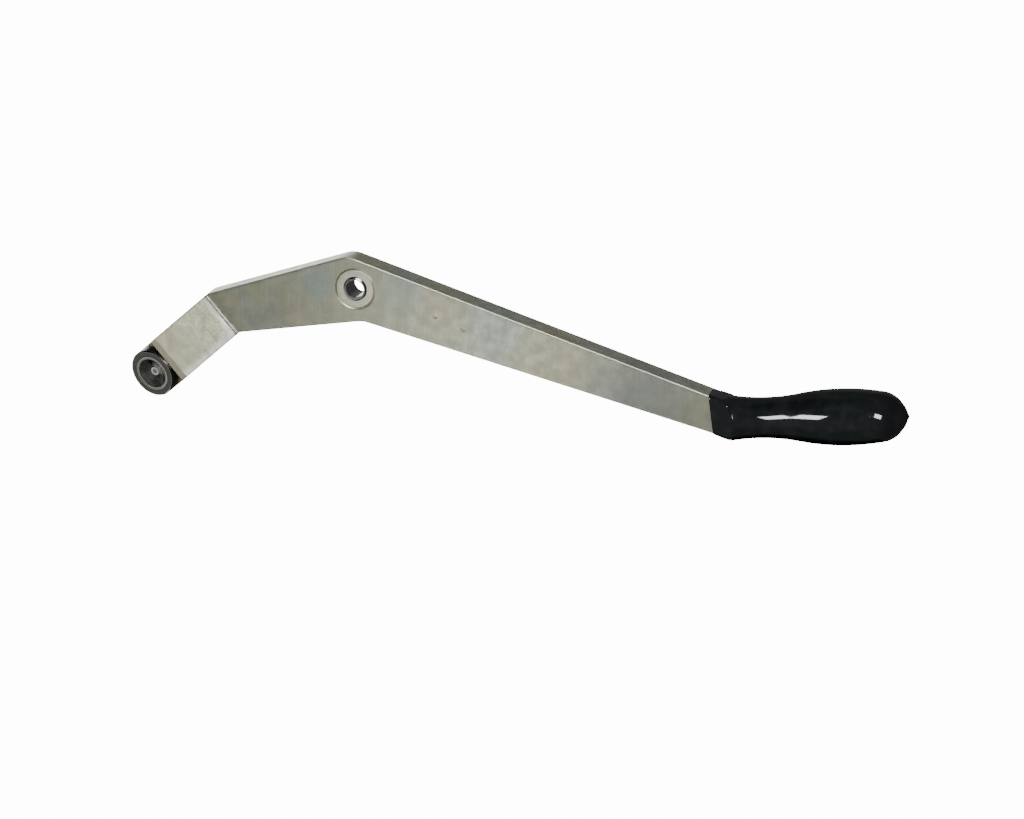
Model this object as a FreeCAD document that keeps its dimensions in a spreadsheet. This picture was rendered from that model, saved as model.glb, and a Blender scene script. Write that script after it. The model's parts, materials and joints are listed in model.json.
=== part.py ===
import FreeCAD, Part
import itertools
import math
import os

import Sketcher

# A hand lever of thick bar. Frame: millimetres, +Z up, +X along the long arm towards the grip,
# +Y to the back. The origin is the middle of the pivot.

DRIVING_SIZES = {
    # the bar
    "bar_thickness": 12.7,
    "edge_round": 0.6,
    "elbow_top_x": -8.3,
    "elbow_top_z": 15.35,
    "elbow_top_round": 13.0,
    "elbow_bottom_x": 7.8,
    "elbow_bottom_z": -15.35,
    "elbow_bottom_round": 15.0,
    "arm_end_above_grip_axis": 10.2,
    "arm_end_below_grip_axis": 9.25,
    "arm_end_round": 2.0,
    # the fold and the end that carries the roller
    "fold_x": -65.5,
    "fold_z": -37.35,
    "end_direction": 236.3,
    "neck_length": 0.6,
    "neck_top_round": 2.5,
    "neck_bottom_round": 1.8,
    "end_width": 25.4,
    "bend_angle": 19.0,
    "bend_radius": 1.0,
    "roller_distance": 61.1,
    "tongue_thickness": 6.35,
    "seat_margin": 0.4,
    # the pivot
    "boss_outer_radius": 10.2,
    "boss_recess": 0.4,
    "boss_mouth_bevel": 0.6,
    "pivot_radius": 6.35,
    "pivot_clearance": 0.05,
    "bolt_hole_radius": 4.85,
    "sleeve_length": 13.1,
    "sleeve_bevel": 0.8,
    # the roller and its rivet
    "roller_radius": 12.7,
    "roller_proud": 0.6,
    "roller_bevel": 0.6,
    "roller_clearance": 0.05,
    "side_gap": 0.1,
    "washer_thickness": 0.8,
    "thrust_washer_radius": 9.5,
    "rivet_shoulder_radius": 5.0,
    "rivet_tail_radius": 3.5,
    "rivet_head_radius": 8.9,
    "rivet_head_height": 3.3,
    "rivet_head_gap": 0.15,
    "rivet_head_sunk": 0.2,
    "dish_mouth_radius": 8.1,
    "dish_floor_radius": 2.2,
    "dish_depth": 2.4,
    "peen_radius": 5.6,
    "peen_height": 1.8,
    "back_washer_radius": 8.0,
    "back_washer_thickness": 1.2,
    # the grip: distances run from its base along its axis
    "grip_x": 207.4,
    "grip_z": -0.6,
    "grip_angle": 20.05,
    "shank_radius": 4.0,
    "shank_length": 14.0,
    "coat_thickness": 1.3,
    "coat_start": 9.6,
    "coat_start_above": 14.3,
    "coat_start_below": 7.0,
    "coat_base_above": 11.0,
    "coat_heel": 1.3,
    "coat_heel_below": 10.6,
    "coat_toe": 7.9,
    "coat_corner_round": 2.0,
    "base_flange": 1.0,
    "base_radius": 11.7,
    "base_bevel": 1.2,
    "neck_arc_radius": 106.0,
    "waist_distance": 38.0,
    "waist_radius": 12.4,
    "belly_arc_radius": 150.0,
    "shoulder_distance": 83.0,
    "shoulder_radius": 13.25,
    "shoulder_arc_radius": 13.7,
    "nose_distance": 92.6,
    "nose_radius": 7.4,
    "nose_arc_radius": 30.0,
    "nub_distance": 95.7,
    "nub_radius": 3.1,
    "tip_distance": 97.6,
    "tip_radius": 0.6,
}

# Through cuts reach this many bar thicknesses, and open cuts run this far past the part, in mm.
CUT_REACH = 4
CUT_SPARE = 5

# The edges this near to the grip, in mm, belong to the arm's square end and stay sharp.
ARM_END_REACH = 5

# Two parts may share this much volume, in cubic mm, before they count as overlapping.
OVERLAP_ALLOWED = 0.01

# Thickness of the coat round the nose and over the tip, in coat thicknesses.
NOSE_SKIN_ALONG = 0.9
NOSE_SKIN_ACROSS = 0.5
TIP_SKIN = 1.2


class Size:
    """A number together with the sheet expression that drives it."""

    def __init__(self, number, text):
        self.number = number
        self.text = text

    def __add__(self, other):
        other = as_size(other)
        return Size(self.number + other.number, f"({self.text} + {other.text})")

    def __sub__(self, other):
        other = as_size(other)
        return Size(self.number - other.number, f"({self.text} - {other.text})")

    def __mul__(self, other):
        other = as_size(other)
        return Size(self.number * other.number, f"({self.text} * {other.text})")

    def __neg__(self):
        return Size(-self.number, f"(-1 * {self.text})")


def as_size(value):
    return value if isinstance(value, Size) else Size(float(value), f"{float(value)!r}")


def sine(angle):
    return Size(math.sin(math.radians(angle.number)), f"sin({angle.text} * 1 deg)")


def cosine(angle):
    return Size(math.cos(math.radians(angle.number)), f"cos({angle.text} * 1 deg)")


class Sizes:
    """Driving sizes by name, kept in a spreadsheet of the document."""

    def __init__(self, document):
        self.sheet = document.addObject("Spreadsheet::Sheet", "Sizes")
        for row, (name, number) in enumerate(DRIVING_SIZES.items(), start=1):
            self.sheet.set(f"A{row}", name)
            self.sheet.set(f"B{row}", str(number))
            self.sheet.setAlias(f"B{row}", name)
        document.recompute()

    def __getattr__(self, name):
        return Size(DRIVING_SIZES[name], f"Sizes.{name}")


doc = FreeCAD.newDocument("HandLever")
size = Sizes(doc)


# ---- sketches and features ----

def new_body(name):
    body = doc.addObject("PartDesign::Body", name)
    body.Label = name
    return body


def origin_plane(body, role):
    return next(plane for plane in body.Origin.OriginFeatures if plane.Role == role)


def new_sketch(body, name, role="XZ_Plane", offset=None):
    sketch = body.newObject("Sketcher::SketchObject", name)
    sketch.AttachmentSupport = [(origin_plane(body, role), "")]
    sketch.MapMode = "FlatFace"
    if offset:
        sketch.setExpression("AttachmentOffset", offset)
    return sketch


def bind(sketch, kind, ends, distance):
    """Add a distance or radius constraint that follows the sheet."""
    index = sketch.addConstraint(Sketcher.Constraint(kind, *ends, distance.number))
    sketch.setExpression(f"Constraints[{index}]", distance.text)


def fix_point(sketch, geometry, point, x, y):
    """Tie one point of the sketch to its place, measured from the sketch's origin."""
    x, y = as_size(x), as_size(y)
    for distance, kind, axis in ((x, "DistanceX", -2), (y, "DistanceY", -1)):
        if abs(distance.number) < 1e-9:
            sketch.addConstraint(Sketcher.Constraint("PointOnObject", geometry, point, axis))
        elif distance.number > 0:
            bind(sketch, kind, (-1, 1, geometry, point), distance)
        else:
            bind(sketch, kind, (geometry, point, -1, 1), -distance)


def arc_middle(start, end, radius):
    """Middle of the short arc between two points; a positive radius bulges to the right."""
    chord = end - start
    half = chord.Length / 2
    sagitta = abs(radius) - math.sqrt(radius * radius - half * half)
    right = FreeCAD.Vector(chord.y, -chord.x, 0).normalize()
    return (start + end) * 0.5 + right * math.copysign(sagitta, radius)


def outline(sketch, corners):
    """Close a loop. Each corner is (x, y), or (x, y, radius) when an arc leaves it."""
    places = [FreeCAD.Vector(as_size(c[0]).number, as_size(c[1]).number, 0) for c in corners]
    ends = []
    for index, corner in enumerate(corners):
        start = places[index]
        end = places[(index + 1) % len(corners)]
        if len(corner) == 3:
            middle = arc_middle(start, end, corner[2].number)
            geometry = sketch.addGeometry(Part.Arc(start, middle, end), False)
        else:
            geometry = sketch.addGeometry(Part.LineSegment(start, end), False)
        forward = (sketch.getPoint(geometry, 1) - start).Length < 1e-6
        ends.append((geometry, 1, 2) if forward else (geometry, 2, 1))
    for index, corner in enumerate(corners):
        geometry, first, _ = ends[index]
        before, _, last = ends[index - 1]
        sketch.addConstraint(Sketcher.Constraint("Coincident", before, last, geometry, first))
        fix_point(sketch, geometry, first, corner[0], corner[1])
        if len(corner) == 3:
            radius = corner[2] if corner[2].number > 0 else -corner[2]
            bind(sketch, "Radius", (geometry,), radius)


def circle(sketch, x, y, radius):
    centre = FreeCAD.Vector(as_size(x).number, as_size(y).number, 0)
    shape = Part.Circle(centre, FreeCAD.Vector(0, 0, 1), radius.number)
    geometry = sketch.addGeometry(shape, False)
    fix_point(sketch, geometry, 3, x, y)
    bind(sketch, "Radius", (geometry,), radius)


def box_outline(sketch, low_x, high_x, low_y, high_y):
    outline(sketch, [(low_x, low_y), (high_x, low_y), (high_x, high_y), (low_x, high_y)])


def turned(body, kind, name, sketch, axis):
    """Turn a sketch once round one of its own axes, as a Revolution or a Groove."""
    feature = body.newObject(f"PartDesign::{kind}", name)
    feature.Profile = sketch
    feature.ReferenceAxis = (sketch, [axis])
    feature.Angle = 360
    sketch.Visibility = False
    return feature


def through_both_sides(body, kind, name, sketch, length):
    """Pad or Pocket a sketch by half of the length to each side of its plane."""
    feature = body.newObject(f"PartDesign::{kind}", name)
    feature.Profile = sketch
    feature.SideType = "Symmetric"
    feature.setExpression("Length", length.text)
    sketch.Visibility = False
    return feature


def round_edges(body, name, base, edges, radius):
    fillet = body.newObject("PartDesign::Fillet", name)
    fillet.Base = (base, edges)
    fillet.setExpression("Radius", radius.text)
    return fillet


def edges_where(feature, wanted):
    """Names of the feature's edges for which wanted(edge) is true."""
    doc.recompute()
    return [f"Edge{i}" for i, edge in enumerate(feature.Shape.Edges, start=1) if wanted(edge)]


def edge_middle(edge):
    return edge.valueAt((edge.FirstParameter + edge.LastParameter) / 2)


def upright_edge_at(x, z):
    """Test for the edge along Y that stands at one corner of the plate."""
    def wanted(edge):
        middle = edge_middle(edge)
        ends = [vertex.Point for vertex in edge.Vertexes]
        along_y = len(ends) == 2 and abs(ends[0].x - ends[1].x) + abs(ends[0].z - ends[1].z) < 1e-6
        return along_y and math.hypot(middle.x - x.number, middle.z - z.number) < 0.01
    return wanted


# ---- frames of the fold, the roller and the grip, in the plane of the long arm ----

half_bar = size.bar_thickness * 0.5
bend_outer = size.bar_thickness + size.bend_radius

FOLD_FRAME = (
    f"placement(vector({size.fold_x.text}; {size.fold_z.text}; "
    f"{(-(half_bar + size.bend_radius)).text}); rotationz({size.end_direction.text}))"
)
END_FRAME = f"{FOLD_FRAME} * placement(vector(0; 0; 0); rotationy({size.bend_angle.text}))"
SECTION_FRAME = f"{FOLD_FRAME} * placement(vector(0; 0; 0); rotationz(90) * rotationx(90))"
ROLLER_FRAME = (
    f"placement(vector(0; 0; 0); rotationx(90)) * {END_FRAME} * "
    f"placement(vector({size.roller_distance.text}; 0; {(size.bend_radius + half_bar).text}); "
    f"rotationz(0))"
)
GRIP_FRAME = (
    f"placement(vector({size.grip_x.text}; {size.grip_z.text}; 0); "
    f"rotationz({size.grip_angle.text}))"
)


def end_frame_at(height):
    """Plane of the folded end at a height above the fold's axis."""
    return f"{END_FRAME} * placement(vector(0; 0; {height.text}); rotationz(0))"


def fold_point(along, across):
    """A point of the flat plate beside the fold, as sheet sizes in X and Z."""
    direction_x, direction_z = cosine(size.end_direction), sine(size.end_direction)
    x = size.fold_x + along * direction_x - across * direction_z
    z = size.fold_z + along * direction_z + across * direction_x
    return x, z


def grip_point(along, across):
    """A point beside the grip's axis, as sheet sizes in X and Z."""
    direction_x, direction_z = cosine(size.grip_angle), sine(size.grip_angle)
    x = size.grip_x + along * direction_x - across * direction_z
    z = size.grip_z + along * direction_z + across * direction_x
    return x, z


def arm_end_corners():
    """Bottom and top corners of the arm's end face, which stands square to the grip."""
    base = as_size(0)
    return (grip_point(base, -size.arm_end_below_grip_axis),
            grip_point(base, size.arm_end_above_grip_axis))


# ---- the lever arm: plate, fold, end, seat and holes ----

def lever_arm():
    body = new_body("lever_arm")
    end_half_width = size.end_width * 0.5
    neck_top = fold_point(-size.neck_length, -end_half_width)
    neck_bottom = fold_point(-size.neck_length, end_half_width)
    arm_end_bottom, arm_end_top = arm_end_corners()
    plate = new_sketch(body, "PlateOutline")
    outline(plate, [
        (size.elbow_top_x, size.elbow_top_z),
        neck_top,
        fold_point(as_size(0), -end_half_width),
        fold_point(as_size(0), end_half_width),
        neck_bottom,
        (size.elbow_bottom_x, size.elbow_bottom_z),
        arm_end_bottom,
        arm_end_top,
    ])
    feature = through_both_sides(body, "Pad", "Plate", plate, size.bar_thickness)

    for name, corner, radius in (
        ("ElbowTop", (size.elbow_top_x, size.elbow_top_z), size.elbow_top_round),
        ("ElbowBottom", (size.elbow_bottom_x, size.elbow_bottom_z), size.elbow_bottom_round),
        ("NeckTop", neck_top, size.neck_top_round),
        ("NeckBottom", neck_bottom, size.neck_bottom_round),
        ("ArmEnd", arm_end_bottom, size.arm_end_round),
    ):
        edges = edges_where(feature, upright_edge_at(*corner))
        feature = round_edges(body, name, feature, edges, radius)

    section = new_sketch(body, "FoldSection", offset=SECTION_FRAME)
    box_outline(section, -end_half_width, end_half_width, size.bend_radius, bend_outer)
    fold = turned(body, "Revolution", "Fold", section, "H_Axis")
    fold.setExpression("Angle", size.bend_angle.text)

    end = new_sketch(body, "EndOutline", offset=end_frame_at(size.bend_radius + half_bar))
    tip = size.roller_distance + end_half_width
    outline(end, [
        (0, end_half_width),
        (0, -end_half_width),
        (size.roller_distance, -end_half_width, end_half_width),
        (tip, 0, end_half_width),
        (size.roller_distance, end_half_width),
    ])
    feature = through_both_sides(body, "Pad", "End", end, size.bar_thickness)

    feature = round_edges(body, "EdgeRounding", feature, edges_where(feature, is_outline_edge),
                          size.edge_round)

    seat = new_sketch(body, "SeatOutline", offset=end_frame_at(bend_outer))
    box_outline(seat, size.roller_distance - size.roller_radius - size.seat_margin, tip + CUT_SPARE,
                -size.end_width, size.end_width)
    pocket = body.newObject("PartDesign::Pocket", "RollerSeat")
    pocket.Profile = seat
    pocket.setExpression("Length", (size.bar_thickness - size.tongue_thickness).text)

    rivet_hole = new_sketch(body, "RivetHoleCircle", offset=end_frame_at(size.bend_radius))
    circle(rivet_hole, size.roller_distance, 0, size.rivet_tail_radius)
    through_both_sides(body, "Pocket", "RivetHole", rivet_hole, size.bar_thickness * CUT_REACH)

    boss_hole = new_sketch(body, "BossHoleCircle")
    circle(boss_hole, 0, 0, size.boss_outer_radius)
    bored = through_both_sides(body, "Pocket", "BossHole", boss_hole, size.bar_thickness * CUT_REACH)

    mouth = body.newObject("PartDesign::Chamfer", "BossMouth")
    mouth.Base = (bored, edges_where(bored, is_boss_mouth))
    mouth.setExpression("Size", size.boss_mouth_bevel.text)

    shank = new_sketch(body, "ShankHoleSection", offset=GRIP_FRAME)
    box_outline(shank, -size.shank_length, size.coat_heel, 0, size.shank_radius)
    turned(body, "Groove", "ShankHole", shank, "H_Axis")
    return body


def is_outline_edge(edge):
    """True for the long edges of the front and back faces, before any hole is cut."""
    middle = edge_middle(edge)
    past_fold = middle - fold_axis_point()
    reach = past_fold.dot(fold_reach())
    if edge_runs_across(edge) or middle.x > DRIVING_SIZES["grip_x"] - ARM_END_REACH:
        return False
    return reach > -1e-3 or abs(abs(middle.y) - half_bar.number) < 1e-6


def edge_runs_across(edge):
    """True where an edge follows the bar's thickness or the line of the fold."""
    ends = [vertex.Point for vertex in edge.Vertexes]
    if len(ends) < 2:
        return False
    run = (ends[1] - ends[0]).normalize()
    axis = fold_line()
    back = FreeCAD.Vector(0, 1, 0)
    tilt = FreeCAD.Rotation(axis, DRIVING_SIZES["bend_angle"])
    folded_back = tilt.multVec(back)
    straight = edge.Curve.TypeId == "Part::GeomLine"
    return straight and any(abs(abs(run.dot(d)) - 1) < 1e-6 for d in (axis, back, folded_back))


def fold_axis_point():
    depth = half_bar.number + DRIVING_SIZES["bend_radius"]
    return FreeCAD.Vector(DRIVING_SIZES["fold_x"], depth, DRIVING_SIZES["fold_z"])


def fold_reach():
    """Direction in which the end leaves the fold, before it is folded."""
    angle = math.radians(DRIVING_SIZES["end_direction"])
    return FreeCAD.Vector(math.cos(angle), 0, math.sin(angle))


def fold_line():
    """Direction of the fold's axis."""
    angle = math.radians(DRIVING_SIZES["end_direction"])
    return FreeCAD.Vector(-math.sin(angle), 0, math.cos(angle))


def is_boss_mouth(edge):
    middle = edge_middle(edge)
    on_face = abs(abs(middle.y) - half_bar.number) < 1e-6
    return on_face and math.hypot(middle.x, middle.z) < DRIVING_SIZES["boss_outer_radius"] + 0.01


# ---- the pivot ----

def ring_body(name, inner, outer, half_length, bevel):
    """A turned ring about Y, centred on the origin, with bevelled ends."""
    body = new_body(name)
    section = new_sketch(body, "Section", role="XY_Plane")
    outline(section, [
        (inner, -half_length),
        (outer - bevel, -half_length),
        (outer, -half_length + bevel),
        (outer, half_length - bevel),
        (outer - bevel, half_length),
        (inner, half_length),
    ])
    turned(body, "Revolution", "Ring", section, "V_Axis")
    return body


def pivot_sleeve():
    outer = size.pivot_radius - size.pivot_clearance
    return ring_body("pivot_sleeve", size.bolt_hole_radius, outer, size.sleeve_length * 0.5,
                     size.sleeve_bevel)


def pivot_boss():
    return ring_body("pivot_boss", size.pivot_radius, size.boss_outer_radius,
                     half_bar - size.boss_recess, size.boss_recess)


# ---- the roller, its rivet and washers: local Z is the roller's axis ----

def at_roller(body):
    body.setExpression("Placement", ROLLER_FRAME)
    return body


seat_floor = size.tongue_thickness - half_bar
roller_back = seat_floor + size.washer_thickness + size.side_gap
roller_front = half_bar + size.roller_proud
head_front = roller_front - size.rivet_head_sunk
head_back = head_front - size.rivet_head_height


def roller():
    body = new_body("roller")
    section = new_sketch(body, "Section")
    bore = size.rivet_shoulder_radius + size.roller_clearance
    counterbore = size.rivet_head_radius + size.rivet_head_gap
    web_front = head_back - size.side_gap
    outline(section, [
        (bore, roller_back),
        (size.roller_radius - size.roller_bevel, roller_back),
        (size.roller_radius, roller_back + size.roller_bevel),
        (size.roller_radius, roller_front - size.roller_bevel),
        (size.roller_radius - size.roller_bevel, roller_front),
        (counterbore, roller_front),
        (counterbore, web_front),
        (bore, web_front),
    ])
    turned(body, "Revolution", "Tread", section, "V_Axis")
    return at_roller(body)


def roller_rivet():
    body = new_body("roller_rivet")
    section = new_sketch(body, "Section")
    tail_end = -half_bar - size.back_washer_thickness
    outline(section, [
        (0, tail_end - size.peen_height),
        (size.peen_radius - size.peen_height, tail_end - size.peen_height, size.peen_height),
        (size.peen_radius, tail_end),
        (size.rivet_tail_radius, tail_end),
        (size.rivet_tail_radius, seat_floor),
        (size.rivet_shoulder_radius, seat_floor),
        (size.rivet_shoulder_radius, head_back),
        (size.rivet_head_radius, head_back),
        (size.rivet_head_radius, head_front),
        (size.dish_mouth_radius, head_front),
        (size.dish_floor_radius, head_front - size.dish_depth),
        (0, head_front - size.dish_depth),
    ])
    turned(body, "Revolution", "Rivet", section, "V_Axis")
    return at_roller(body)


def washer(name, inner, outer, low, high):
    body = new_body(name)
    section = new_sketch(body, "Section")
    box_outline(section, inner, outer, low, high)
    turned(body, "Revolution", "Disc", section, "V_Axis")
    return at_roller(body)


def roller_thrust_washer():
    return washer("roller_thrust_washer", size.rivet_shoulder_radius, size.thrust_washer_radius,
                  seat_floor, seat_floor + size.washer_thickness)


def rivet_washer():
    return washer("rivet_washer", size.rivet_tail_radius, size.back_washer_radius,
                  -half_bar - size.back_washer_thickness, -half_bar)


# ---- the grip: sketch X runs along its axis ----

def core_profile(skin):
    """Turned shape of the handle, with a skin of the given thickness taken off."""
    return [
        (size.waist_distance, size.waist_radius - skin, skin - size.belly_arc_radius),
        (size.shoulder_distance, size.shoulder_radius - skin, skin - size.shoulder_arc_radius),
    ]


def handle_core_corners():
    skin = size.coat_thickness
    nose = size.nose_distance - skin * NOSE_SKIN_ALONG
    nose_height = size.nose_radius - skin * NOSE_SKIN_ACROSS
    flat = size.nub_distance - skin * TIP_SKIN
    base = (0, size.base_radius - skin, size.neck_arc_radius + skin)
    return [base] + core_profile(skin) + [
        (nose, nose_height),
        (flat, size.nub_radius),
        (flat, 0),
    ]


def grip_core():
    body = new_body("grip_core")
    section = new_sketch(body, "Section", offset=GRIP_FRAME)
    outline(section, [
        (-size.shank_length, 0),
        (-size.shank_length, size.shank_radius),
        (0, size.shank_radius),
    ] + handle_core_corners())
    turned(body, "Revolution", "Handle", section, "H_Axis")
    return body


def grip_coat():
    body = new_body("grip_coat")

    sleeve = new_sketch(body, "SleeveOutline", offset=GRIP_FRAME)
    outline(sleeve, [
        (-size.coat_start, -size.coat_start_below),
        (size.coat_heel, -size.coat_heel_below),
        (size.coat_heel * 2, -size.coat_toe),
        (size.coat_heel * 2, size.coat_toe),
        (0, size.coat_base_above),
        (-size.coat_start, size.coat_start_above),
    ])
    pad = through_both_sides(body, "Pad", "Sleeve", sleeve,
                             size.bar_thickness + size.coat_thickness * 2)
    round_edges(body, "SleeveCorners", pad, edges_where(pad, is_sleeve_corner),
                size.coat_corner_round)

    skin = new_sketch(body, "SkinSection", offset=GRIP_FRAME)
    outline(skin, [
        (-size.base_flange, 0),
        (-size.base_flange, size.base_radius - size.base_bevel),
        (size.base_bevel - size.base_flange, size.base_radius, size.neck_arc_radius),
    ] + core_profile(as_size(0)) + [
        (size.nose_distance, size.nose_radius, -size.nose_arc_radius),
        (size.nub_distance, size.nub_radius),
        (size.tip_distance, size.tip_radius),
        (size.tip_distance, 0),
    ])
    turned(body, "Revolution", "Skin", skin, "H_Axis")

    core = new_sketch(body, "CoreSection", offset=GRIP_FRAME)
    outline(core, [(0, 0)] + handle_core_corners())
    turned(body, "Groove", "CoreHollow", core, "H_Axis")

    arm = new_sketch(body, "ArmHollowOutline")
    outline(arm, [
        (size.elbow_bottom_x, size.elbow_bottom_z),
        *arm_end_corners(),
        (size.elbow_top_x, size.elbow_top_z),
    ])
    through_both_sides(body, "Pocket", "ArmHollow", arm, size.bar_thickness)
    return body


def is_sleeve_corner(edge):
    """True for the long corners of the sleeve round the arm, not its open end."""
    middle = edge_middle(edge)
    ends = [vertex.Point for vertex in edge.Vertexes]
    in_plane = abs(ends[0].y - ends[1].y) < 1e-6
    run = (ends[1] - ends[0]).normalize()
    angle = math.radians(DRIVING_SIZES["grip_angle"])
    across = abs(run.dot(FreeCAD.Vector(-math.sin(angle), 0, math.cos(angle)))) > 0.999
    return in_plane and not across and abs(middle.y) > half_bar.number


# ---- build, check and write ----

BUILDERS = (
    pivot_sleeve,
    pivot_boss,
    lever_arm,
    roller,
    roller_rivet,
    roller_thrust_washer,
    rivet_washer,
    grip_core,
    grip_coat,
)


def check(document, bodies):
    for item in document.Objects:
        if "Invalid" in item.State or "Error" in item.State:
            raise RuntimeError(f"{item.Name} failed: {item.State}")
    for body in bodies:
        shape = body.Shape
        if shape.isNull() or not shape.isValid() or len(shape.Solids) != 1:
            raise RuntimeError(f"{body.Label} isn't one valid solid")
        print(f"{body.Label}: {shape.Volume:.1f} mm3")
    for one, other in itertools.combinations(bodies, 2):
        if one.Shape.common(other.Shape).Volume > OVERLAP_ALLOWED:
            raise RuntimeError(f"{one.Label} and {other.Label} overlap")


parts = [build() for build in BUILDERS]
doc.recompute()
check(doc, parts)
os.makedirs("parts", exist_ok=True)
for part in parts:
    part.Shape.exportStep(f"parts/{part.Label}.step")
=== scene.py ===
import json
import math

import bmesh
import bpy
from mathutils import Matrix, Vector


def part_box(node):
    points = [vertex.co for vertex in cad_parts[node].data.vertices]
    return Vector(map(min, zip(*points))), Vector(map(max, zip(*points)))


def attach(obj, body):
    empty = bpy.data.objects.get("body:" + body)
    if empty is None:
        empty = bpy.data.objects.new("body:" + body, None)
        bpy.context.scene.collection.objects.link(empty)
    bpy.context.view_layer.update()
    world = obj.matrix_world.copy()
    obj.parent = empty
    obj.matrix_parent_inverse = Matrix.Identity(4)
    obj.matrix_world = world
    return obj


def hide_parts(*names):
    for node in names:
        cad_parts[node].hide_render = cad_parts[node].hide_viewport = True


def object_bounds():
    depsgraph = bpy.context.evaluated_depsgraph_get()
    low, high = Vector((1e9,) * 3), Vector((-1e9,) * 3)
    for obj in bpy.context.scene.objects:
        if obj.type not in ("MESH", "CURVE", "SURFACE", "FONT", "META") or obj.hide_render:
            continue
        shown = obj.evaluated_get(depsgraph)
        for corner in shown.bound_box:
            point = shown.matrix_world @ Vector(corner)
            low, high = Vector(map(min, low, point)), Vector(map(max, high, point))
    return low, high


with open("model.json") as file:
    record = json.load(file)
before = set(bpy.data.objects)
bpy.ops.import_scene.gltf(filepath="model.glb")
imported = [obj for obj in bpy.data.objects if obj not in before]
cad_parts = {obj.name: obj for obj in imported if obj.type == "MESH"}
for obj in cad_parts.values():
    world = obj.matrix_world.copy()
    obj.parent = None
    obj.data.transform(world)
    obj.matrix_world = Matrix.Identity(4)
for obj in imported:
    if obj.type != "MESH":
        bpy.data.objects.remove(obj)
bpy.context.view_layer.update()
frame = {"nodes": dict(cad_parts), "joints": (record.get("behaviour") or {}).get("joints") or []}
nodes = frame["nodes"]
joints = {joint["name"]: joint for joint in frame["joints"]}

MM = 0.001


# ---- camera: parallel view of the lever from the front, a little right and above ----

VIEW_AZIMUTH = math.radians(16.33)
VIEW_ELEVATION = math.radians(21.8)
VIEW_ROLL = math.radians(13.23)
VIEW_CENTRE = Vector((92.3, 4.7, -38.3)) * MM
VIEW_WIDTH = 520.0 * MM
CAMERA_DISTANCE = 1.5
CAMERA_CLIP = (0.1, 100.0)


def make_camera():
    back = Vector((
        math.sin(VIEW_AZIMUTH) * math.cos(VIEW_ELEVATION),
        -math.cos(VIEW_AZIMUTH) * math.cos(VIEW_ELEVATION),
        math.sin(VIEW_ELEVATION),
    ))
    data = bpy.data.cameras.new("camera")
    data.type = "ORTHO"
    data.ortho_scale = VIEW_WIDTH
    camera = bpy.data.objects.new("camera", data)
    bpy.context.scene.collection.objects.link(camera)
    camera.rotation_mode = "QUATERNION"
    upright = (-back).to_track_quat("-Z", "Y").to_matrix()
    rolled = upright @ Matrix.Rotation(VIEW_ROLL, 3, "Z")
    camera.rotation_quaternion = rolled.to_quaternion()
    camera.location = VIEW_CENTRE + back * CAMERA_DISTANCE
    data.clip_start, data.clip_end = CAMERA_CLIP
    bpy.context.scene.camera = camera


make_camera()


# ---- shader building ----

# Most of a noise's values lie between these two.
NOISE_RANGE = (0.3, 0.7)

# A spot's full strength ends at the first share of its radius and its fade at the second. The
# third is the size of the noise that makes it ragged.
SPOT_INNER = 0.5
SPOT_OUTER = 1.25
SPOT_NOISE = 0.6

# An edge is where the rounded normal leaves the true one: the cosines where it starts and is full.
EDGE_COSINES = (0.995, 0.93)
EDGE_SAMPLES = 6
BUMP_SAMPLES = 8


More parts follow.
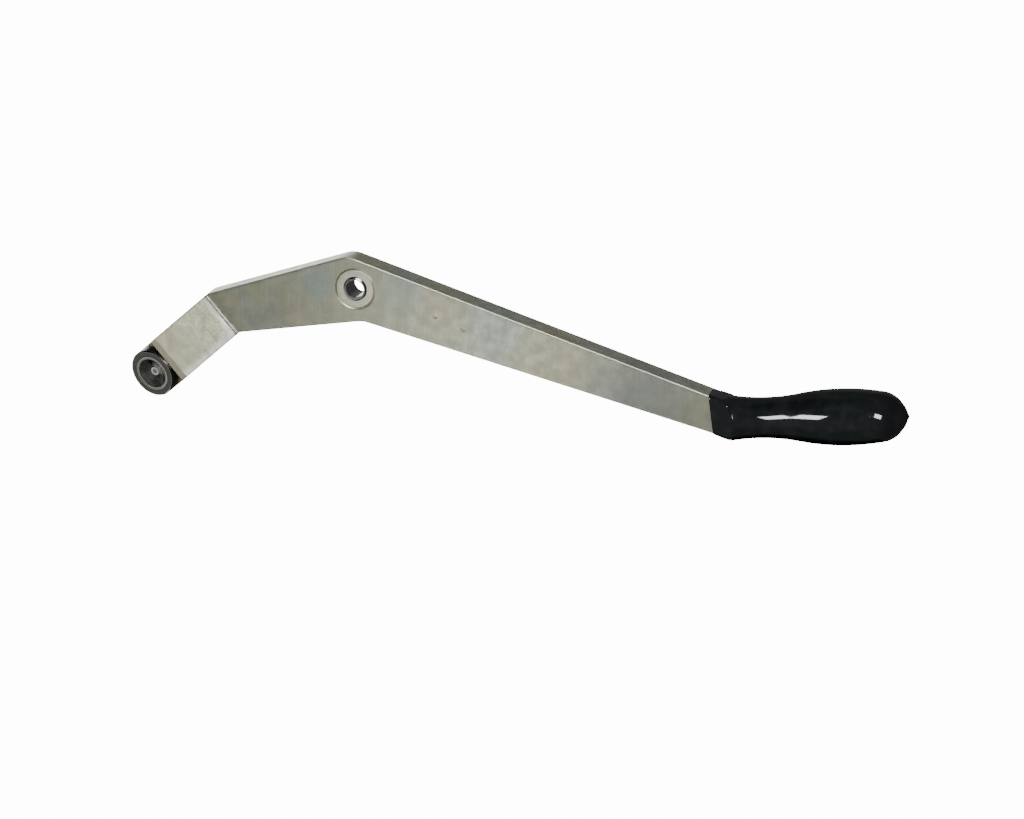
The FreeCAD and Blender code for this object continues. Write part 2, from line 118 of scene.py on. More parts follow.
class Shade:
    """Wires the nodes of one material. Places are in metres, in the part's own frame."""

    def __init__(self, name):
        self.material = bpy.data.materials.new(name)
        self.material.use_nodes = True
        self.tree = self.material.node_tree
        self.surface = self.tree.nodes["Principled BSDF"]
        self.place = self.node("ShaderNodeTexCoord").outputs["Object"]

    def node(self, kind, **settings):
        made = self.tree.nodes.new(kind)
        for name, value in settings.items():
            setattr(made, name, value)
        return made

    def feed(self, socket, value):
        if isinstance(value, bpy.types.NodeSocket):
            self.tree.links.new(value, socket)
        else:
            socket.default_value = value

    def sum(self, operation, *values, clamp=False):
        made = self.node("ShaderNodeMath", operation=operation, use_clamp=clamp)
        for socket, value in zip(made.inputs, values):
            self.feed(socket, value)
        return made.outputs[0]

    def vector(self, operation, *values, output="Vector"):
        made = self.node("ShaderNodeVectorMath", operation=operation)
        for socket, value in zip(made.inputs, values):
            self.feed(socket, value)
        return made.outputs[output]

    def ramp(self, value, low, high, to_low=0.0, to_high=1.0):
        """A smooth step of the value from low to high, given out as to_low to to_high."""
        made = self.node("ShaderNodeMapRange", interpolation_type="SMOOTHSTEP")
        for name, number in (("Value", value), ("From Min", low), ("From Max", high),
                             ("To Min", to_low), ("To Max", to_high)):
            self.feed(made.inputs[name], number)
        return made.outputs["Result"]

    def ramp_mm(self, value, span, to_low=0.0, to_high=1.0):
        """The same for a distance, with the two ends of the step in mm."""
        return self.ramp(value, span[0] * MM, span[1] * MM, to_low, to_high)

    def noise(self, size_mm, detail=3.0, roughness=0.55, distortion=0.0, place=None):
        """Noise from 0 to 1 whose blotches are about size_mm across."""
        made = self.node("ShaderNodeTexNoise")
        self.feed(made.inputs["Vector"], place or self.place)
        self.feed(made.inputs["Scale"], 1.0 / (size_mm * MM))
        self.feed(made.inputs["Detail"], detail)
        self.feed(made.inputs["Roughness"], roughness)
        self.feed(made.inputs["Distortion"], distortion)
        return made.outputs["Fac"]

    def mix(self, amount, first, second):
        made = self.node("ShaderNodeMix", data_type="RGBA")
        self.feed(made.inputs["Factor"], amount)
        self.feed(made.inputs[6], colour(first))
        self.feed(made.inputs[7], colour(second))
        return made.outputs[2]

    def turned_about(self, angle, stretch):
        """Places turned about Y by an angle and squeezed along one axis, for brush marks."""
        turn = self.node("ShaderNodeVectorRotate", rotation_type="Y_AXIS")
        self.feed(turn.inputs["Vector"], self.place)
        self.feed(turn.inputs["Angle"], angle)
        return self.vector("MULTIPLY", turn.outputs["Vector"], (1.0, 1.0, stretch))

    def spot(self, centre, radius, ragged=0.35):
        """A soft round patch in the plane of the arm, with a ragged outline. Sizes in mm."""
        flat = self.vector("MULTIPLY", self.place, (1.0, 0.0, 1.0))
        middle = (centre[0] * MM, 0.0, centre[1] * MM)
        distance = self.vector("DISTANCE", flat, middle, output="Value")
        wobble = self.sum("MULTIPLY", self.noise(radius * SPOT_NOISE),
                          radius * ragged * 2.0 * MM)
        reach = self.sum("ADD", distance, wobble)
        return self.ramp_mm(reach, (radius * (SPOT_OUTER + ragged), radius * SPOT_INNER))

    def from_axis(self, point, axis):
        """Distance of a place from an axis."""
        off = self.vector("SUBTRACT", self.place, tuple(point))
        return self.vector("LENGTH", self.vector("CROSS_PRODUCT", off, tuple(axis)),
                           output="Value")

    def edges(self, radius_mm):
        """1 on edges and corners, 0 on flat ground."""
        rounded = self.node("ShaderNodeBevel", samples=EDGE_SAMPLES)
        self.feed(rounded.inputs["Radius"], radius_mm * MM)
        true = self.node("ShaderNodeNewGeometry").outputs["Normal"]
        same = self.vector("DOT_PRODUCT", rounded.outputs["Normal"], true, output="Value")
        return self.ramp(same, *EDGE_COSINES)

    def bump(self, height, depth_mm, edge_mm=0.0):
        """Relief in the shading alone, with edges rounded over edge_mm. The mesh stays as it is."""
        made = self.node("ShaderNodeBump")
        if edge_mm:
            rounded = self.node("ShaderNodeBevel", samples=BUMP_SAMPLES)
            self.feed(rounded.inputs["Radius"], edge_mm * MM)
            self.feed(made.inputs["Normal"], rounded.outputs["Normal"])
        self.feed(made.inputs["Height"], height)
        self.feed(made.inputs["Distance"], depth_mm * MM)
        self.feed(self.surface.inputs["Normal"], made.outputs["Normal"])

    def finish(self, base_colour, roughness, metallic=1.0):
        self.feed(self.surface.inputs["Base Color"], base_colour)
        self.feed(self.surface.inputs["Roughness"], roughness)
        self.feed(self.surface.inputs["Metallic"], metallic)
        return self.material


def colour(value):
    return (*value, 1.0) if isinstance(value, tuple) and len(value) == 3 else value


# ---- places that the materials share ----

FOLD_PLACE = Vector((-65.5, 0.0, -37.35)) * MM
FOLD_DIRECTION = math.radians(236.3)
FOLD_REACH = Vector((math.cos(FOLD_DIRECTION), 0.0, math.sin(FOLD_DIRECTION)))
BAR_HALF_THICK = 6.35
FOLD_FRONT = FOLD_PLACE + Vector((0.0, -BAR_HALF_THICK, 0.0)) * MM
BEND_ANGLE = math.radians(19.0)
END_ALONG = FOLD_REACH * math.cos(BEND_ANGLE) + Vector((0.0, math.sin(BEND_ANGLE), 0.0))
FOLD_LOWER = Vector((-math.sin(FOLD_DIRECTION), 0.0, math.cos(FOLD_DIRECTION)))
PIVOT_AXIS = Vector((0.0, 1.0, 0.0))
ROLLER_PLACE = Vector(joints["roller_spin"]["pos_m"])
ROLLER_AXIS = Vector(joints["roller_spin"]["axis"]).normalized()


# ---- steel of the bar: plated, brushed nearly upright, tinted in patches, with painted highlights and painted shade ----

GRAIN_ANGLE = math.radians(13.0)
GRAIN_STRETCH = 0.035
EDGE_ROUNDING = 0.9

# The bright line along the fold is partly a groove in the relief and partly a painted highlight,
# which FOLD_IN
# and FOLD_OUT bound. For the groove: its middle past the fold and half its width in mm, and its
# depth as a share of BAR_RELIEF.
RIDGE_PLACE = 0.16
RIDGE_WIDTH = 1.7
RIDGE_DEPTH = 0.48
BAR_RELIEF = 0.15

# Distances past the fold in mm. Each pair is where a blend starts and where it is full.
END_SPAN = (0.0, 1.4)
# FOLD_IN and FOLD_OUT bound the band of painted highlight along the fold.
FOLD_IN = (-0.7, 0.5)
FOLD_OUT = (2.6, 1.0)
FOLD_RAGGED = 1.2
BROWN_BEFORE_FOLD = (-8.0, -1.0)
# BRIGHT_AFTER_FOLD fades a painted highlight out along the end, away from the fold.
BRIGHT_AFTER_FOLD = (7.0, 1.0)
# BEIGE_ALONG_END makes the folded end darker towards the seat.
BEIGE_ALONG_END = (8.0, 40.0)

# Distances below the middle of the folded end in mm, where a painted highlight lies on its lower
# side.
BRIGHT_LOWER_SIDE = (10.0, 16.0)
LOWER_RAGGED = 5.0

# Where the seat's colour starts, in mm past the fold. That is about 2.5 mm before the seat.
SEAT_START = 48.0
SEAT_SPAN = (SEAT_START + 0.05, SEAT_START + 0.25)
SEAT_DULLNESS = 0.75

# Noise sizes on the bar in mm.
CLOUD_SIZE = 34.0
GRAIN_SIZE = 0.7
STREAK_SIZE = 3.2
SPECKLE_SIZE = 0.9
MOTTLE_SIZE = 8.0
SCUFF_SIZE = 4.0
WEAR_SIZE = 2.0
WAVE_SIZE = 5.0
ROUGHNESS_SIZE = 6.0

# Brightness that each noise gives, as the values at its two ends. The first is the base.
GRAIN_LIGHT = (0.95, 1.04)
STREAK_LIGHT = (-0.03, 0.03)
SPECKLE_LIGHT = (-0.04, 0.04)
MOTTLE_LIGHT = (-0.07, 0.06)
BAR_ROUGHNESS = (0.36, 0.46)

NEUTRAL_STEEL = (0.50, 0.53, 0.44)
OLIVE_STEEL = (0.515, 0.515, 0.375)
TEAL_STEEL = (0.42, 0.50, 0.455)
# Painted shade, for the arm's darker parts near the grip and on the short arm.
PAINTED_SHADE_STEEL = (0.38, 0.405, 0.36)
BEIGE_STEEL = (0.52, 0.53, 0.37)
# Partly the folded end's scuffed mottle, partly painted highlight: the end is paler where it faces
# the light.
PALE_LIT_STEEL = (0.88, 0.88, 0.67)
BROWN_STEEL = (0.42, 0.40, 0.27)
# Painted highlight: the bright line along the fold and the glare on the folded end.
PAINTED_HIGHLIGHT_STEEL = (0.95, 0.94, 0.86)
WORN_STEEL = (0.86, 0.85, 0.80)

# Patches on the bar's face: centre in X and Z, radius, colour and how strongly it shows.
# The dark patches are painted shade: the arm darker near the grip and on the short arm.
PATCHES = (
    ((0.0, -2.0), 22.0, OLIVE_STEEL, 0.75),
    ((-19.0, -5.0), 10.0, TEAL_STEEL, 0.8),
    ((23.0, 7.0), 15.0, TEAL_STEEL, 0.6),
    ((75.0, 5.0), 24.0, TEAL_STEEL, 0.6),
    ((103.0, -9.0), 22.0, BEIGE_STEEL, 0.45),
    ((45.0, -10.0), 24.0, OLIVE_STEEL, 0.5),
    ((-42.0, -26.0), 14.0, PAINTED_SHADE_STEEL, 0.25),
    ((-50.0, -19.0), 8.0, BEIGE_STEEL, 0.9),
    ((-25.0, -24.0), 8.0, OLIVE_STEEL, 0.8),
    ((160.0, -12.0), 36.0, PAINTED_SHADE_STEEL, 1.0),
    ((-64.0, -30.0), 8.0, OLIVE_STEEL, 0.8),
)
# Marks sunk into the bar's face: centre in X and Z, and radius.
PUNCH_MARKS = (((44.5, 0.7), 1.5), ((60.7, -1.5), 0.9))


def bar_steel():
    shade = Shade("bar_steel")
    past_fold = shade.vector("SUBTRACT", shade.place, tuple(FOLD_PLACE))
    reach = shade.vector("DOT_PRODUCT", past_fold, tuple(FOLD_REACH), output="Value")
    on_end = shade.ramp_mm(reach, END_SPAN)
    # A ragged band along the fold, where a painted highlight lies.
    ragged = shade.sum("MULTIPLY", shade.noise(3.0), FOLD_RAGGED * MM)
    ragged_reach = shade.sum("ADD", reach, ragged)
    fold_highlight_band = shade.sum("MULTIPLY", shade.ramp_mm(ragged_reach, FOLD_IN),
                        shade.ramp_mm(ragged_reach, FOLD_OUT))

    cloud = shade.noise(CLOUD_SIZE, detail=4.0)
    tint = shade.mix(shade.ramp(cloud, 0.35, 0.65), NEUTRAL_STEEL, OLIVE_STEEL)
    # Tinted patches; the dark ones are painted shade.
    for centre, radius, patch, strength in PATCHES:
        amount = shade.sum("MULTIPLY", shade.spot(centre, radius), strength)
        tint = shade.mix(amount, tint, patch)

    brushed = shade.turned_about(GRAIN_ANGLE, GRAIN_STRETCH)
    grain = shade.noise(GRAIN_SIZE, detail=5.0, roughness=0.7, place=brushed)
    streaks = shade.noise(STREAK_SIZE, detail=3.0, place=brushed)
    speckle = shade.noise(SPECKLE_SIZE, detail=2.0)
    mottle = shade.noise(MOTTLE_SIZE, detail=5.0, roughness=0.65)
    lit = shade.sum("ADD", shade.ramp(grain, *NOISE_RANGE, *GRAIN_LIGHT),
                    shade.ramp(streaks, *NOISE_RANGE, *STREAK_LIGHT))
    lit = shade.sum("ADD", lit, shade.ramp(speckle, 0.3, 0.75, *SPECKLE_LIGHT))
    lit = shade.sum("ADD", lit, shade.ramp(mottle, *NOISE_RANGE, *MOTTLE_LIGHT))

    # The folded end: a scuffed mottle whose pale parts are partly painted highlight; it gets darker
    # towards the seat.
    scuffs = shade.noise(SCUFF_SIZE, detail=6.0, roughness=0.75, distortion=1.5)
    end_tint_and_painted_light = shade.mix(shade.ramp(scuffs, 0.35, 0.7), BEIGE_STEEL, PALE_LIT_STEEL)
    far_along = shade.ramp_mm(reach, BEIGE_ALONG_END, 0.0, 0.95)
    end_tint_and_painted_light = shade.mix(far_along, end_tint_and_painted_light, BEIGE_STEEL)
    lower = shade.vector("DOT_PRODUCT", past_fold, tuple(FOLD_LOWER), output="Value")
    lower = shade.sum("ADD", lower, shade.sum("MULTIPLY", shade.noise(WAVE_SIZE),
                                            LOWER_RAGGED * MM))
    # Painted highlight on the lower side of the folded end, and next to the fold.
    end_tint_and_painted_light = shade.mix(shade.ramp_mm(lower, BRIGHT_LOWER_SIDE), end_tint_and_painted_light, PAINTED_HIGHLIGHT_STEEL)
    after_fold_highlight = shade.ramp_mm(reach, BRIGHT_AFTER_FOLD, 0.0, 0.7)
    end_tint_and_painted_light = shade.mix(after_fold_highlight, end_tint_and_painted_light, PAINTED_HIGHLIGHT_STEEL)
    from_ridge = shade.vector("SUBTRACT", shade.place, tuple(FOLD_FRONT))
    along_end = shade.vector("DOT_PRODUCT", from_ridge, tuple(END_ALONG), output="Value")
    # Past the seat's start it is painted a darker brown: painted shade in the milled recess.
    on_seat = shade.ramp_mm(along_end, SEAT_SPAN)
    end_tint_and_painted_light = shade.mix(on_seat, end_tint_and_painted_light, BROWN_STEEL)
    before_fold = shade.ramp_mm(reach, BROWN_BEFORE_FOLD, 0.0, 0.5)
    tint = shade.mix(before_fold, tint, BROWN_STEEL)
    tint = shade.mix(on_end, tint, end_tint_and_painted_light)
    # The painted highlight along the fold.
    tint = shade.mix(fold_highlight_band, tint, PAINTED_HIGHLIGHT_STEEL)

    wear = shade.sum("MULTIPLY", shade.edges(0.7), shade.ramp(shade.noise(WEAR_SIZE), 0.3, 0.6))
    tint = shade.mix(shade.sum("MULTIPLY", wear, 0.5), tint, WORN_STEEL)
    base = shade.vector("SCALE", tint)
    shade.feed(base.node.inputs["Scale"], lit)

    marks = 0.0
    for centre, radius in PUNCH_MARKS:
        marks = shade.sum("ADD", marks, shade.spot(centre, radius, ragged=0.15))
    height = shade.sum("ADD", shade.sum("MULTIPLY", grain, 0.05),
                       shade.sum("MULTIPLY", shade.noise(WAVE_SIZE), 0.06))
    height = shade.sum("SUBTRACT", height, marks)
    off_ridge = shade.sum("ABSOLUTE", shade.sum("SUBTRACT", reach, RIDGE_PLACE * MM))
    ridge = shade.sum("DIVIDE", shade.sum("SUBTRACT", RIDGE_WIDTH * MM, off_ridge),
                      RIDGE_WIDTH * MM, clamp=True)
    ridge = shade.sum("MULTIPLY", shade.sum("MULTIPLY", ridge, ridge), RIDGE_DEPTH)
    height = shade.sum("SUBTRACT", height, ridge)
    shade.bump(height, BAR_RELIEF, EDGE_ROUNDING)
    rough = shade.ramp(shade.noise(ROUGHNESS_SIZE, detail=5.0), *NOISE_RANGE, *BAR_ROUGHNESS)
    rough = shade.sum("SUBTRACT", rough, shade.sum("MULTIPLY", fold_highlight_band, 0.20))
    rough = shade.sum("SUBTRACT", rough, shade.sum("MULTIPLY", wear, 0.12))
    # Past the seat's start the steel is dull, so it takes light from all round.
    metallic = shade.sum("SUBTRACT", 1.0, shade.sum("MULTIPLY", on_seat, SEAT_DULLNESS))
    return shade.finish(base, rough, metallic)


# ---- turned steel: rings about an axis, with bands of painted shade ----

# Painted shade, for the dark gaps between parts and the dark hollows.
PAINTED_SHADE_BLACK = (0.06, 0.06, 0.055)
BAND_EDGE = 0.2
BAND_STRENGTH = 0.85
RING_RELIEF = 0.03


def turned_steel(name, point, axis, dark, light, roughness, ring_mm, painted_shade_bands=()):
    """Steel with rings about an axis. The bands are the radii in mm between which painted shade
    darkens it, for the gaps and hollows.
    """
    shade = Shade(name)
    radius = shade.from_axis(point, axis)
    line = shade.node("ShaderNodeCombineXYZ")
    shade.feed(line.inputs["X"], radius)
    rings = shade.noise(ring_mm, detail=5.0, roughness=0.7, place=line.outputs["Vector"])
    blotches = shade.noise(3.0, detail=4.0)
    amount = shade.sum("MULTIPLY", shade.ramp(rings, *NOISE_RANGE), 0.7)
    amount = shade.sum("ADD", amount, shade.ramp(blotches, 0.4, 0.75, 0.0, 0.3))
    tint = shade.mix(amount, dark, light)
    # Bands of painted shade in the gaps between parts and in the hollows.
    for start, end in painted_shade_bands:
        painted_shade_band = shade.sum("MULTIPLY", shade.ramp_mm(radius, (start, start + BAND_EDGE)),
                         shade.ramp_mm(radius, (end, end - BAND_EDGE)))
        tint = shade.mix(shade.sum("MULTIPLY", painted_shade_band, BAND_STRENGTH), tint, PAINTED_SHADE_BLACK)
    worn = shade.sum("MULTIPLY", shade.edges(0.5), 0.35)
    shade.bump(rings, RING_RELIEF)
    rough = shade.ramp(blotches, *NOISE_RANGE, *roughness)
    return shade.finish(shade.mix(worn, tint, WORN_STEEL), rough)


# ---- dipped vinyl ----

VINYL = (0.0046, 0.0056, 0.0062)
VINYL_DUSTY = (0.0080, 0.0092, 0.0098)
VINYL_SPECK = (0.04, 0.04, 0.04)
VINYL_ROUGHNESS = (0.04, 0.10)
VINYL_RELIEF = 0.05
VINYL_IOR = 1.5


def dipped_vinyl():
    shade = Shade("dipped_vinyl")
    haze = shade.noise(7.0, detail=5.0)
    specks = shade.ramp(shade.noise(0.6, detail=2.0), 0.70, 0.78)
    tint = shade.mix(shade.ramp(haze, 0.4, 0.7), VINYL, VINYL_DUSTY)
    tint = shade.mix(shade.sum("MULTIPLY", specks, 0.25), tint, VINYL_SPECK)
    ripple = shade.sum("ADD", shade.noise(14.0, detail=1.0),
                       shade.sum("MULTIPLY", shade.noise(1.2, detail=2.0), 0.03))
    shade.bump(ripple, VINYL_RELIEF)
    shade.surface.inputs["IOR"].default_value = VINYL_IOR
    rough = shade.ramp(haze, 0.3, 0.75, *VINYL_ROUGHNESS)
    return shade.finish(tint, rough, metallic=0.0)


def paint(node, material):
    mesh = nodes[node].data
    mesh.materials.clear()
    mesh.materials.append(material)


VINYL_MATERIAL = dipped_vinyl()
ORIGIN = Vector((0.0, 0.0, 0.0))
WASHER_LOOK = (ROLLER_PLACE, ROLLER_AXIS, (0.40, 0.40, 0.36), (0.60, 0.60, 0.55), (0.3, 0.42), 0.5)

# Turned pieces: node, material, a point on the axis and its direction, dark and light colour,
# roughness at the noise's two ends, the rings' size in mm, and the bands of painted shade.
TURNED_PIECES = (
    ("pivot_boss", "boss_steel", ORIGIN, PIVOT_AXIS,
     (0.66, 0.66, 0.50), (0.95, 0.94, 0.76), (0.30, 0.42), 0.6, ((4.0, 6.4),)),
    ("pivot_sleeve", "sleeve_steel", ORIGIN, PIVOT_AXIS,
     (0.30, 0.30, 0.30), (0.62, 0.62, 0.62), (0.16, 0.26), 0.4, ((4.95, 5.5), (5.7, 9.0))),
    ("roller", "roller_steel", ROLLER_PLACE, ROLLER_AXIS,
     (0.020, 0.020, 0.018), (0.085, 0.085, 0.077), (0.22, 0.34), 0.6),
    ("roller_rivet", "rivet_steel", ROLLER_PLACE, ROLLER_AXIS,
     (0.14, 0.14, 0.13), (0.50, 0.50, 0.46), (0.18, 0.30), 0.5, ((-1.0, 1.5), (8.1, 9.5))),
    ("roller_thrust_washer", "roller_thrust_washer_steel", *WASHER_LOOK),
    ("rivet_washer", "rivet_washer_steel", *WASHER_LOOK),
    ("grip_core", "core_steel", ORIGIN, PIVOT_AXIS,
     (0.40, 0.40, 0.38), (0.56, 0.56, 0.54), (0.3, 0.4), 0.8),
)

paint("lever_arm", bar_steel())
for turned_node, *look in TURNED_PIECES:
    paint(turned_node, turned_steel(*look))
paint("grip_coat", VINYL_MATERIAL)


# ---- the grip's coat: a dipped skin over the arm's end and the turned handle, in mm ----

GRIP_ANGLE = math.radians(20.05)
GRIP_ALONG = Vector((math.cos(GRIP_ANGLE), 0.0, math.sin(GRIP_ANGLE)))
GRIP_ACROSS = Vector((-math.sin(GRIP_ANGLE), 0.0, math.cos(GRIP_ANGLE)))
GRIP_DEPTH = Vector((0.0, 1.0, 0.0))
SHANK_LENGTH = 14.0

SKIN_POINTS = 128
BLOCK_HALF_DEPTH = 7.65
BLOCK_START = -9.6
BLOCK_TOP = (14.3, 11.0)
BLOCK_BOTTOM = (-7.0, -10.6)
BLOCK_HEEL = 1.3
BLOCK_SQUARENESS = 9.0
DIP_SLANT = 1.65
DIP_SLANT_END = -2.0
SHOULDER_FRONT = 3.8
SHOULDER_DROP = 3.5
SHOULDER_SPAN = 9.5
SHOULDER_BLEND = 1.5
BASE_RADIUS = 11.7
BLOCK_STEP = 0.35
BLOCK_END = 6.0

# The turned outline: distance along, radius, and the radius of the arc to the next point.
# A positive arc bulges outwards. The last column is the number of steps along it.
SKIN_OUTLINE = (
    (0.2, BASE_RADIUS, -115.0, 44),
    (38.0, 12.4, 138.0, 44),
    (83.0, 13.1, 14.0, 20),
    (92.6, 7.8, 14.0, 10),
    (95.9, 3.4, 0.0, 6),
    (97.6, 0.6, 0.0, 0),
)

# The rolled lip where the dip ends: how far along from the start, and how far under the skin.
LIP = ((0.9, 2.4), (0.0, 1.45), (0.0, 0.9), (0.1, 0.45), (0.35, 0.12), (0.8, 0.0))


def arc_points(start, end, bulge, steps):
    """Points from start towards end, without end, on an arc whose radius is bulge."""
    start, end = Vector(start), Vector(end)
    chord = end - start
    half = chord.length / 2
    outward = Vector((-chord.y, chord.x)).normalized()
    for step in range(steps):
        share = step / steps
        point = start + chord * share
        if bulge:
            off_middle = half * (2 * share - 1)
            rise = math.sqrt(bulge ** 2 - off_middle ** 2) - math.sqrt(bulge ** 2 - half ** 2)
            point += outward * math.copysign(rise, bulge)
        yield point


def skin_profile():
    points = []
    for (s, r, bulge, steps), (next_s, next_r, *_) in zip(SKIN_OUTLINE, SKIN_OUTLINE[1:]):
        points += arc_points((s, r), (next_s, next_r), bulge, steps)
    points.append(Vector(SKIN_OUTLINE[-1][:2]))
    return points


def radius_at(profile, s):
    if s <= profile[0].x:
        return BASE_RADIUS
    for before, after in zip(profile, profile[1:]):
        if s <= after.x:
            share = (s - before.x) / (after.x - before.x)
            return before.y + share * (after.y - before.y)
    return profile[-1].y


def smooth(value):
    value = min(max(value, 0.0), 1.0)
    return value * value * (3.0 - 2.0 * value)


def block_point(s, turn, inset):
    """A point of the squarish sleeve round the arm: across and depth."""
    share = min((s - BLOCK_START) / (BLOCK_HEEL - BLOCK_START), 1.0)
    top_share = min((s - BLOCK_START) / -BLOCK_START, 1.0)
    top = BLOCK_TOP[0] + (BLOCK_TOP[1] - BLOCK_TOP[0]) * top_share
    bottom = BLOCK_BOTTOM[0] + (BLOCK_BOTTOM[1] - BLOCK_BOTTOM[0]) * share
    half = (top - bottom) / 2 - inset
    depth = BLOCK_HALF_DEPTH - inset
    power = BLOCK_SQUARENESS
    reach = (abs(math.cos(turn) / half) ** power + abs(math.sin(turn) / depth) ** power)
    reach = reach ** (-1.0 / power)
    return (top + bottom) / 2 + reach * math.cos(turn), reach * math.sin(turn)


def skin_ring(s, profile, inset=0.0):
    """One ring of the skin: along, across and depth of each point."""
    radius = radius_at(profile, s) - inset
    fade = smooth((DIP_SLANT_END - s) / (DIP_SLANT_END - BLOCK_START))
    ring = []
    for index in range(SKIN_POINTS):
        turn = 2 * math.pi * index / SKIN_POINTS
        across, depth = radius * math.cos(turn), radius * math.sin(turn)
        if s < BLOCK_END:
            block_across, block_depth = block_point(s, turn, inset)
            shoulder = SHOULDER_FRONT - SHOULDER_DROP * (block_across / SHOULDER_SPAN) ** 2
            round_share = smooth((s - shoulder) / SHOULDER_BLEND)
            across = block_across + (across - block_across) * round_share
            depth = block_depth + (depth - block_depth) * round_share
        slant = DIP_SLANT * depth / BLOCK_HALF_DEPTH * fade
        ring.append((s - slant, across, depth))
    return ring


def grip_origin():
    """Where the grip's axis meets the arm's end face, read from the turned core."""
    points = [vertex.co for vertex in nodes["grip_core"].data.vertices]
    along = [point.dot(GRIP_ALONG) for point in points]
    across = [point.dot(GRIP_ACROSS) for point in points]
    start = min(along) + SHANK_LENGTH * MM
    return GRIP_ALONG * start + GRIP_ACROSS * ((min(across) + max(across)) / 2)


def loft(name, rings):
    """A closed mesh through rings whose points are given as along, across and depth in mm."""
    origin = grip_origin()
    bm = bmesh.new()
    grid = []
    for ring in rings:
        grid.append([bm.verts.new(origin + (GRIP_ALONG * s + GRIP_ACROSS * t + GRIP_DEPTH * w) * MM)
                     for s, t, w in ring])
    for lower, upper in zip(grid, grid[1:]):
        for index in range(len(lower)):
            after = (index + 1) % len(lower)
            bm.faces.new((lower[index], lower[after], upper[after], upper[index]))
    bm.faces.new(grid[0])
    bm.faces.new(grid[-1])
    bmesh.ops.recalc_face_normals(bm, faces=bm.faces)
    mesh = bpy.data.meshes.new(name)
    bm.to_mesh(mesh)
    bm.free()
    made = bpy.data.objects.new(name, mesh)
    bpy.context.scene.collection.objects.link(made)
    return made


def make_grip_skin():
    profile = skin_profile()
    rings = [skin_ring(BLOCK_START + ahead, profile, inset) for ahead, inset in LIP]
    s = BLOCK_START + LIP[-1][0] + BLOCK_STEP
    while s < BLOCK_END:
        rings.append(skin_ring(s, profile))
        s += BLOCK_STEP
    rings += [skin_ring(point.x, profile) for point in profile if point.x >= BLOCK_END]

    skin = loft("grip_skin", rings)
    skin.data.shade_smooth()
    skin.data.materials.append(VINYL_MATERIAL)
    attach(skin, "lever")
    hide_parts("grip_coat")
    return skin


# The handle under the coat starts past the coat's step, so that it stays inside the skin.
CORE_START = 6.0
CORE_END = 94.0
CORE_INSET = 1.4
CORE_SHANK_RADIUS = 4.0
CORE_POINTS = 64


def make_grip_core():
    turned = [(-SHANK_LENGTH, CORE_SHANK_RADIUS), (CORE_START, CORE_SHANK_RADIUS)]
    turned += [(point.x, point.y - CORE_INSET) for point in skin_profile()
               if CORE_START <= point.x <= CORE_END]
    turns = [2 * math.pi * index / CORE_POINTS for index in range(CORE_POINTS)]
    rings = [[(s, radius * math.cos(turn), radius * math.sin(turn)) for turn in turns]
             for s, radius in turned]
    core = loft("grip_turned_core", rings)
    core.data.materials.append(nodes["grip_core"].data.materials[0])
    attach(core, "lever")
    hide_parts("grip_core")


skin_piece = make_grip_skin()
make_grip_core()


# ---- floor, lights and surroundings ----

FLOOR_SIZE = 12.0
FLOOR_GAP = 0.02
FLOOR_GLOW = 14.0
FLOOR_WHITE = (0.9, 0.9, 0.9, 1)
FLOOR_ROUGHNESS = 0.9


def make_floor():
    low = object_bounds()[0]
    bm = bmesh.new()
    bmesh.ops.create_grid(bm, x_segments=1, y_segments=1, size=FLOOR_SIZE)
    mesh = bpy.data.meshes.new("floor")
    bm.to_mesh(mesh)
    bm.free()
    floor = bpy.data.objects.new("floor", mesh)
    floor.location = (0, 0, low.z - FLOOR_GAP)
    bpy.context.scene.collection.objects.link(floor)
    material = bpy.data.materials.new("floor_white")
    material.use_nodes = True
    shader = material.node_tree.nodes["Principled BSDF"]
    shader.inputs["Base Color"].default_value = FLOOR_WHITE
    shader.inputs["Roughness"].default_value = FLOOR_ROUGHNESS
    shader.inputs["Emission Color"].default_value = (1, 1, 1, 1)
    shader.inputs["Emission Strength"].default_value = FLOOR_GLOW
    mesh.materials.append(material)
    floor.visible_glossy = False
    floor.visible_diffuse = False


# The studio round the lever: direction, half angle of the full glow, half angle where it
# ends, and how much it adds to the even light.
EVEN_LIGHT = 0.08
GLOWS = (
    ((-0.26, -0.89, -0.37), 12.0, 32.0, 0.10),
    ((-0.26, 0.89, 0.37), 10.0, 26.0, 0.08),
    ((-0.25, 0.37, -0.89), 12.0, 30.0, -0.10),
    ((-0.85, -0.16, 0.49), 12.0, 30.0, -0.10),
)

# Panels that light the steel alone: name, direction, half angle and brightness.
STEEL_PANELS = (
    ("panel_end_plate", (-0.51, -0.42, -0.75), 20.0, 1.45),
    ("panel_short_top", (-0.44, 0.89, -0.11), 16.0, 3.2),
    ("panel_front_edge", (-0.06, -0.42, 0.90), 18.0, 12.0),
    ("panel_fold", (-0.40, -0.67, -0.58), 4.0, 14.0),
    ("panel_seat_edge", (-0.39, 0.72, -0.57), 14.0, 3.0),
    ("panel_lower_edge", (0.20, 0.22, -0.956), 10.0, 7.0),
    ("panel_viewer", (0.26, -0.89, 0.37), 6.0, 20.0),
)


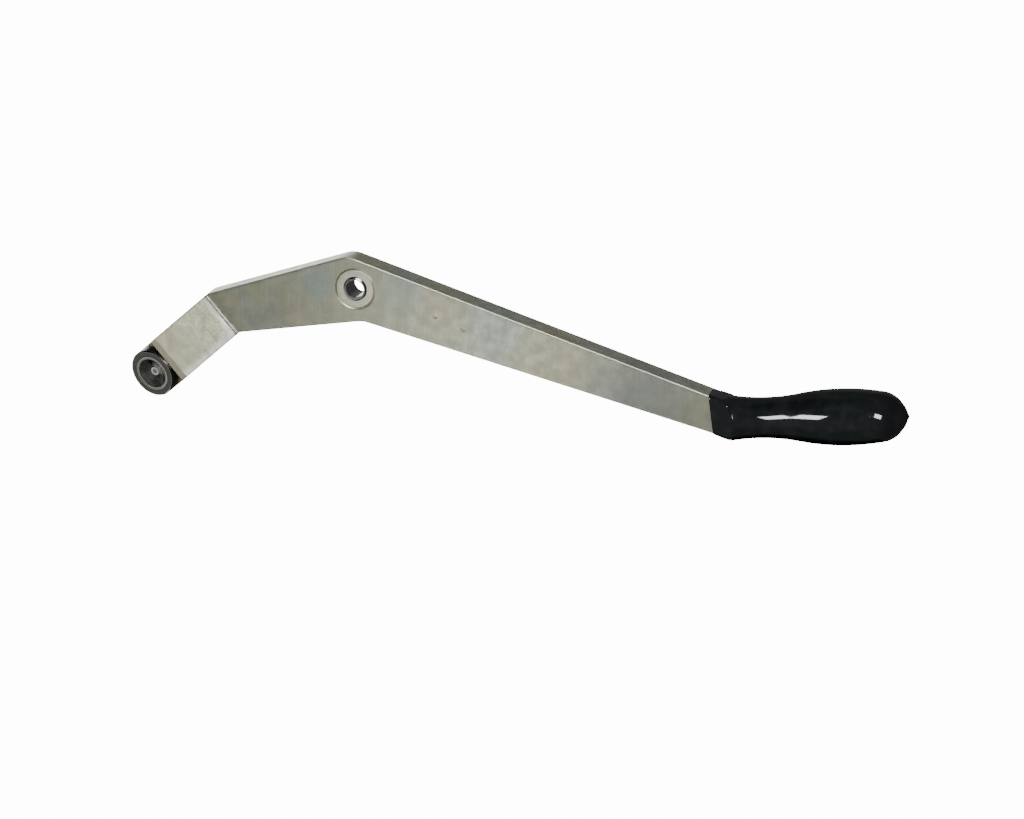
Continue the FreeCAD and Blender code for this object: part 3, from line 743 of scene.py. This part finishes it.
def make_world():
    world = bpy.data.worlds.new("studio")
    bpy.context.scene.world = world
    world.use_nodes = True
    tree = world.node_tree
    look = tree.nodes.new("ShaderNodeTexCoord").outputs["Generated"]
    total = None
    for direction, inner, outer, amount in GLOWS:
        dot = tree.nodes.new("ShaderNodeVectorMath")
        dot.operation = "DOT_PRODUCT"
        tree.links.new(look, dot.inputs[0])
        dot.inputs[1].default_value = Vector(direction).normalized()
        step = tree.nodes.new("ShaderNodeMapRange")
        step.interpolation_type = "SMOOTHSTEP"
        tree.links.new(dot.outputs["Value"], step.inputs["Value"])
        step.inputs["From Min"].default_value = math.cos(math.radians(outer))
        step.inputs["From Max"].default_value = math.cos(math.radians(inner))
        step.inputs["To Min"].default_value = 0.0
        step.inputs["To Max"].default_value = amount
        add = tree.nodes.new("ShaderNodeMath")
        add.operation = "ADD"
        tree.links.new(step.outputs["Result"], add.inputs[0])
        if total is None:
            add.inputs[1].default_value = EVEN_LIGHT
        else:
            tree.links.new(total, add.inputs[1])
        total = add.outputs[0]
    background = tree.nodes["Background"]
    background.inputs["Color"].default_value = (1.0, 1.0, 1.0, 1.0)
    tree.links.new(total, background.inputs["Strength"])


def add_light(name, kind, away, pieces):
    """A light facing back along away, which lights only the given pieces."""
    data = bpy.data.lights.new(name, kind)
    light = bpy.data.objects.new(name, data)
    light.rotation_mode = "QUATERNION"
    light.rotation_quaternion = away.to_track_quat("Z", "Y")
    bpy.context.scene.collection.objects.link(light)
    lit = bpy.data.collections.new(f"{name}_lights")
    for piece in pieces:
        lit.objects.link(piece)
    light.light_linking.receiver_collection = lit
    return light


def make_softbox(name, direction, aim, distance, width, height, brightness, pieces):
    away = Vector(direction).normalized()
    light = add_light(name, "AREA", away, pieces)
    light.location = aim + away * distance
    light.data.shape = "RECTANGLE"
    light.data.size, light.data.size_y = width, height
    light.data.energy = brightness * math.pi * width * height


def make_panel(name, direction, half_angle, brightness, pieces):
    half_angle = math.radians(half_angle)
    light = add_light(name, "SUN", Vector(direction).normalized(), pieces)
    light.data.angle = 2 * half_angle
    light.data.energy = brightness * math.pi * math.sin(half_angle) ** 2


make_floor()
make_world()
GRIP_MIDDLE = sum(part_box("grip_core"), Vector()) / 2
# The place on the arm's face that is brightest.
ARM_BRIGHTEST = Vector((84.0, 0.0, -4.0)) * MM
STEEL_PIECES = [piece for node, piece in nodes.items() if node not in ("grip_coat", "grip_core")]

# Softboxes: name, direction, aim, distance, width and height in metres, brightness, pieces lit.
SOFTBOXES = (
    ("softbox_spot", (0.10, -0.94, 0.33), GRIP_MIDDLE, 2.0, 1.0, 0.60, 34.0, [skin_piece]),
    ("softbox_streak", (-0.60, -0.80, 0.02), GRIP_MIDDLE, 2.0, 0.55, 0.46, 34.0, [skin_piece]),
    ("softbox_arm", (-0.26, -0.89, -0.37), ARM_BRIGHTEST, 0.30, 0.12, 0.12, 2.6, STEEL_PIECES),
)
for softbox in SOFTBOXES:
    make_softbox(*softbox)
for name, direction, half_angle, brightness in STEEL_PANELS:
    make_panel(name, direction, half_angle, brightness, STEEL_PIECES)
